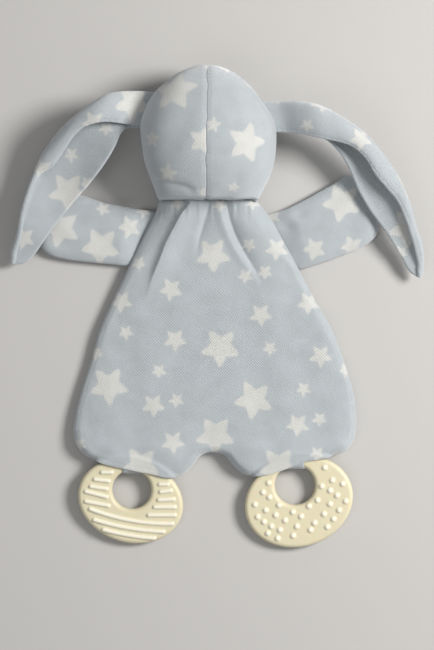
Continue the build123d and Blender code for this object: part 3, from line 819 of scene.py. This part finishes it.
# By share of the ear's length: the height of the part that lies flat, and the arch of the fold.
EAR_FLOOR = [(0, 21.5), (0.08, 23), (0.22, 27), (0.32, 24.5), (0.45, 18.3), (0.6, 13.4), (0.8, 12.2),
             (0.92, 9.5), (1, 8.2)]
EAR_RISE = [(0, 5.5), (0.08, 6.0), (0.14, 9.6), (0.2, 11.5), (0.38, 10.5), (0.5, 7.0), (0.6, 4.0),
            (0.8, 2.8), (1, 0.8)]
EAR_ROWS, EAR_COLS = 190, 96
EAR_LONG = 150.0
EAR_PUCKERS = 44
FOLD_IN = 1.4  # how far the cloth's middle is inside the fold's outline
TURNED_MIN = 2.2  # the least that is turned over


def ear_section(a, f, o, z, arch, up, late):
    """Points across an ear from the flat edge a, over the fold f, to the turned edge o.
    z is the flat part's height, arch the fold's, up how far it leans, late how soon the crest comes."""
    width = np.linalg.norm(a - f) + 1e-6
    way = (a - f) / width
    f = f + way * min(FOLD_IN, 0.2 * width)
    o = o + way * max(0.0, min(TURNED_MIN, 0.3 * width) - (o - f) @ way)
    section = [
        (*a, z + 0.10 * arch),
        (*(a + 0.10 * (f - a)), z + 0.07 * arch),
        (*(a + 0.35 * (f - a)), z + 0.2 * up),
        (*(a + 0.70 * (f - a)), z + 0.55 * up),
        (*(a + 0.93 * (f - a)), z + 0.8 * up + 0.12 * arch),
        (*f, z + 0.9 * up + 0.50 * arch),
        (*(f + 0.09 * (o - f)), z + up + (0.80 + 0.16 * late) * arch),
        (*(f + 0.35 * (o - f)), z + up + (1.00 + 0.06 * late) * arch),
        (*(f + 0.80 * (o - f)), z + up + (1.06 - 0.28 * late) * arch),
        (*o, z + up + (0.86 - 0.40 * late) * arch),
    ]
    apart = np.arange(len(section))[:, None] * 1e-6  # keeps points apart where the tip closes
    return line(np.array(section) + apart, spread(EAR_COLS, 0.4))


def ear_grid(side):
    """The middle surface of an ear."""
    data, share = EARS[side], spread(EAR_ROWS, 0.3)
    fold, inner, over = (line(data[key], share) for key in ("fold", "inner", "over"))
    floor, arch, lean = height(EAR_FLOOR, share), height(EAR_RISE, share), height(data["lean"], share)
    turning = ease((share - 0.2) / 0.25) if side == "left" else np.full(EAR_ROWS, 0.5)
    grid = np.zeros((EAR_ROWS, EAR_COLS, 3))
    for i, (z, h, up) in enumerate(zip(floor, arch, lean)):
        a, f = seen_at(inner[i], z), seen_at(fold[i], z + up + 0.5 * h)
        grid[i] = ear_section(a, f, seen_at(over[i], z + up + h), z, h, up, turning[i])
    waves = ripple(grid[..., 0], grid[..., 1], 0.6, (31, 24, 44), 6)
    grid[..., 2] += waves * ease(share * 8)[:, None]
    to_edge = along_cols(grid)[1]
    pucker = np.sin(2 * np.pi * share * EAR_PUCKERS + np.sin(share * 60))[:, None]
    grid[..., 2] += 0.22 * (pucker * np.exp(-to_edge / 2.5)) - 0.25 * bell(to_edge - STITCH_IN, 0.7)
    return grid


ear_pieces = {}
for number, side in enumerate(("left", "right")):
    grid = ear_grid(side)
    n = facing(grid)
    if n[60, 40, 2] < 0:
        n = -n
    n[-2:] = n[-3:-2]  # the last rows meet in a point, where a normal means nothing
    run, left_over = along_cols(grid)
    to_tip = (1.0 - spread(EAR_ROWS, 0.3))[:, None] * EAR_LONG
    round_edge = dome(np.minimum(np.minimum(run, left_over), to_tip), 1.9)
    for layer, thick, unseen in (("outer", -1.45, -0.15), ("lining", 1.35, None)):
        gap = math.copysign(0.06, thick)
        outside = grid + n * (gap + (thick - gap) * round_edge)[..., None]
        inside = grid + n * gap / 2
        grids, count = (outside, inside), (EAR_ROWS - 1) * (EAR_COLS - 1)
        piece = printed_piece(f"ear_{side}_{layer}_cloth", grids, f"ear_{side}_{layer}", count)
        stars_on([piece], EARS[side][f"{layer}_stars"], unseen, 41 + number, turned=-8.0)
        ear_pieces[side, layer] = piece

# ================================================================ arms
ARMS = {
    "left": {
        "upper": [(-34, 61.5), (-40.3, 62.9), (-49.4, 64), (-61.1, 66), (-70.9, 67.9), (-79.3, 70.5),
                  (-87.1, 73.1), (-97.5, 74.4), (-106.5, 72), (-112.3, 66), (-115.4, 58.5), (-116.2, 51)],
        "lower": [(-47, 28.5), (-57.2, 27.3), (-70.2, 28.3), (-83.9, 29.6), (-98.8, 31.5), (-107.9, 34.1),
                  (-113.1, 38.0), (-115.6, 44), (-116.2, 51)],
        "stars": [(-75, 40, BIG), (-101, 51.5, BIG), (-56.5, 52.5, MID), (-73.5, 64, SMALL),
                  (-47.5, 62.5, SMALL)],
        "dents": [],
        "reach": ((-47.0, 45.5), (-62.0, 46.5)),
    },
    "right": {
        "upper": [(28, 58.5), (33.2, 60.4), (43.6, 63.4), (57.2, 69.9), (67.6, 75.7), (78, 81.6),
                  (84, 85.3),
                  (87.6, 86.0), (90.5, 83.5), (96, 75), (101, 67), (105.3, 57.5), (106.6, 52.3)],
        "lower": [(43, 25.5), (54, 25), (63.7, 27.6), (74.1, 30.9), (84.5, 34.8), (95, 39.5),
                  (100.1, 42.6),
                  (104.7, 47.1), (106.6, 52.3)],
        "stars": [(82, 68.5, BIG), (63.5, 38, MID), (88.5, 39.5, MID), (37, 59, SMALL)],
        "dents": [(46.5, 53.0, 1.3), (55.0, 60.0, 0.7)],
        "reach": ((42.5, 43.0), (58.0, 47.0)),
    },
}
ARM_U, ARM_V = spread(110, 0.35), spread(80, 0.65)
arm_pieces = []
for number, (side, data) in enumerate(ARMS.items()):
    upper, lower = line(data["upper"], ARM_U), line(data["lower"], ARM_U)
    flat = upper[:, None] + (lower - upper)[:, None] * ARM_V[None, :, None]
    away = edge_distance(flat, [line(data["upper"], fine), line(data["lower"], fine)])
    root = (upper[0] + lower[0]) / 2
    toward = (upper[60] + lower[60]) / 2 - root
    toward /= np.linalg.norm(toward)
    from_root = (flat - root) @ toward
    open_up = ease((from_root - 5.0) / 17.0)
    top_z = 4.5 + (8.7 - 4.5) * open_up
    low_z = 2.2 - 1.6 * open_up
    mid_z = 3.3 + 1.2 * open_up
    ax, ay = flat[..., 0], flat[..., 1]
    top = mid_z + (top_z - mid_z) * (0.85 * dome(away, 6.5) + 0.15 * dome(away, 20.0))
    top += ripple(ax, ay, 0.6, (19, 27, 35, 15), 12 + number) * ease(away / 8.0) * open_up
    top -= 0.1 * bell(away - 2.5, 0.9) * open_up
    for dent_x, dent_y, deep in data["dents"]:
        top -= deep * np.exp(-((ax - dent_x) / 5.0) ** 2 - ((ay - dent_y) / 3.5) ** 2)
    low = mid_z - (mid_z - low_z) * dome(away, 4.5)
    thick = np.clip(away / CUT_RUN, 0.25, 1.0) * (0.5 + 0.6 * open_up)
    for layer, high, side_of, seen, unseen in (
        ("back", top, 1.0, data["stars"], None),
        ("front", low, -1.0, (), EVERYWHERE),
    ):
        grid = np.dstack([flat, high])
        n = facing(grid)
        n *= side_of * np.sign(n[50, 40, 2])
        n[-2:] = n[-3:-2]  # the last rows meet in a point, where a normal means nothing
        grids, count = (grid, grid - n * thick[..., None]), (len(ARM_U) - 1) * (len(ARM_V) - 1)
        piece = printed_piece(f"arm_{side}_{layer}_cloth", grids, f"arm_{side}_{layer}", count)
        stars_on([piece], seen, unseen, 51 + number, turned=-12.0)
        arm_pieces.append((side, piece))
    slim = flat + (flat.mean((0, 1)) - flat) * 0.1
    hold_low = np.maximum(1.9, low + thick + 0.15)
    hold_top = np.minimum(top - 1.5, 2.1 + 6.0 * dome(away, 8.0)) + ripple(ax, ay, 0.15, (5, 7, 9), 3)
    hold_top = np.maximum(hold_top, hold_low + 0.25)
    grids = np.dstack([slim, hold_top]), np.dstack([slim, hold_low])
    fill = stuffing_piece(f"arm_{side}_filling_batt", grids, f"arm_{side}_filling")
    arm_pieces.append((side, fill))


# ================================================================ stuffing, rings, capsule
def resurfaced(node, name, voxel, material, smooth):
    """A new piece from a CAD node's shape, with an even surface."""
    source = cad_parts[node]
    copy = bpy.data.objects.new(name + "_work", source.data.copy())
    bpy.context.scene.collection.objects.link(copy)
    weld = copy.modifiers.new("weld", "WELD")
    weld.merge_threshold = 1e-6
    even = copy.modifiers.new("even", "REMESH")
    even.mode = "VOXEL"
    even.voxel_size = voxel * MM
    soften = copy.modifiers.new("soften", "SMOOTH")
    soften.factor = 0.5
    soften.iterations = smooth
    bpy.context.view_layer.update()
    mesh = bpy.data.meshes.new_from_object(copy.evaluated_get(bpy.context.evaluated_depsgraph_get()))
    bpy.data.objects.remove(copy)
    mesh.name = name
    mesh.materials.clear()
    mesh.materials.append(material)
    mesh.shade_smooth()
    piece = bpy.data.objects.new(name, mesh)
    bpy.context.scene.collection.objects.link(piece)
    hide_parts(node)
    return piece


def read(mesh, what):
    values = np.zeros(len(mesh.vertices) * 3)
    mesh.vertices.foreach_get(what, values)
    return values.reshape(-1, 3)


LUMPS = (900.0, 1050.0, 980.0)  # radians per metre
LUMP = 0.7
NECK_LIFT = 4.8  # keeps the stuffing off the body's neck when the head tilts
NECK_END, NECK_RUN = 69.0, 16.0

for half in ("front", "back"):
    piece = resurfaced(f"head_filling_{half}", f"head_filling_{half}_tuft", 1.6, STUFFING, 2)
    co, n = read(piece.data, "co"), read(piece.data, "normal")
    waves = [np.sin(co[:, axis] * LUMPS[axis] + axis) for axis in range(3)]
    bumps = waves[0] * waves[1] * waves[2]
    co -= n * (LUMP * MM * (0.6 + 0.4 * bumps))[:, None]
    co[:, 1] += NECK_LIFT * MM * (1.0 - ease((co[:, 1] / MM - NECK_END) / NECK_RUN))
    piece.data.vertices.foreach_set("co", co.ravel())
    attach(piece, "head")

for side in ("left", "right"):
    piece = resurfaced(f"teether_{side}", f"teether_{side}_ring", 0.42, RUBBER, 4)
    hinge, tilt = RINGS[side][0], RINGS[side][-1]
    y, z = read(piece.data, "co")[:, 1] / MM, read(piece.data, "co")[:, 2] / MM
    # the mask for the painted highlight: how far a point stands above the ring's top face, up to 1 mm
    level = HINGE_Z + (y - hinge) * math.tan(math.radians(tilt)) + RING_HALF
    highlight_mask = piece.data.attributes.new("highlight_mask", "FLOAT", "POINT")
    highlight_mask.data.foreach_set("value", np.clip(z - level, 0.0, 1.0).astype(np.float32))
    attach(piece, f"teether_{side}")

rattle = {"rattle_capsule_base": CAPSULE, "rattle_capsule_lid": CAPSULE}
rattle.update({f"rattle_bead_{i}": BEAD for i in range(1, 6)})
for node, material in rattle.items():
    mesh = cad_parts[node].data
    mesh.materials.clear()
    mesh.materials.append(material)
    mesh.shade_smooth()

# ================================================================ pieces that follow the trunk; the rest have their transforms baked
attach(body_pieces[0], "trunk")
for piece, side in zip(body_pieces[1:], ("left", "right")):
    hinge = RINGS[side][0] * MM
    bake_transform(piece)
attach(front_piece, "trunk")
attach(wadding, "trunk")
for piece in loops:
    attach(piece, "trunk")
for piece in head_pieces:
    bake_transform(piece)
EAR_BENDS = {
    "left": ((-0.0445, 0.1275, 0.03), (-0.0565, 0.1324, 0.03)),
    "right": ((0.0350, 0.1220, 0.03), (0.0470, 0.1270, 0.03)),
}
for (side, layer), piece in ear_pieces.items():
    start, end = EAR_BENDS[side]
    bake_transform(piece)
    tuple(start)
    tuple(end)
for side, piece in arm_pieces:
    start, end = ((x * MM, y * MM, 0.004) for x, y in ARMS[side]["reach"])
    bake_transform(piece)
    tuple(start)
    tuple(end)


# ================================================================ setting
scene = bpy.context.scene
FLOOR = 4.0
floor_mesh = bpy.data.meshes.new("floor")
corners = [(x * FLOOR, y * FLOOR, 0) for x, y in ((-1, -1), (1, -1), (1, 1), (-1, 1))]
floor_mesh.from_pydata(corners, [], [(0, 1, 2, 3)])
floor_mesh.materials.append(plain("floor_matt", (0.52, 0.515, 0.508), 0.9, 60.0, 0.0001, 0.004))
floor = bpy.data.objects.new("floor", floor_mesh)
floor.location.z = -0.0004
scene.collection.objects.link(floor)
floor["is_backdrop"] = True

world = bpy.data.worlds.new("studio")
world.use_nodes = True
world.node_tree.nodes["Background"].inputs["Color"].default_value = (1.0, 0.985, 0.96, 1.0)
world.node_tree.nodes["Background"].inputs["Strength"].default_value = 0.285
scene.world = world


def lamp(name, place, size, power, colour):
    """A round lamp that points at the middle of the frame."""
    data = bpy.data.lights.new(name, "AREA")
    data.shape = "DISK"
    data.size = size
    data.energy = power
    data.color = colour
    light = bpy.data.objects.new(name, data)
    light.location = place
    light.rotation_euler = (-Vector(place)).to_track_quat("-Z", "Y").to_euler()
    scene.collection.objects.link(light)


lamp("key", (1.0, 0.3, 0.95), 0.5, 23.2, (1.0, 0.975, 0.94))
lamp("fill", (-0.6, -0.5, 1.3), 1.2, 3.2, (0.97, 0.98, 1.0))

camera_data = bpy.data.cameras.new("camera")
camera_data.lens = 152.4
camera = bpy.data.objects.new("camera", camera_data)
camera.location = EYE * MM
scene.collection.objects.link(camera)
scene.camera = camera
scene.view_settings.view_transform = "Standard"

low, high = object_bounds()
{"cad": [list(c) for c in CAD_BOUNDS], "visual": [list(low), list(high)]}
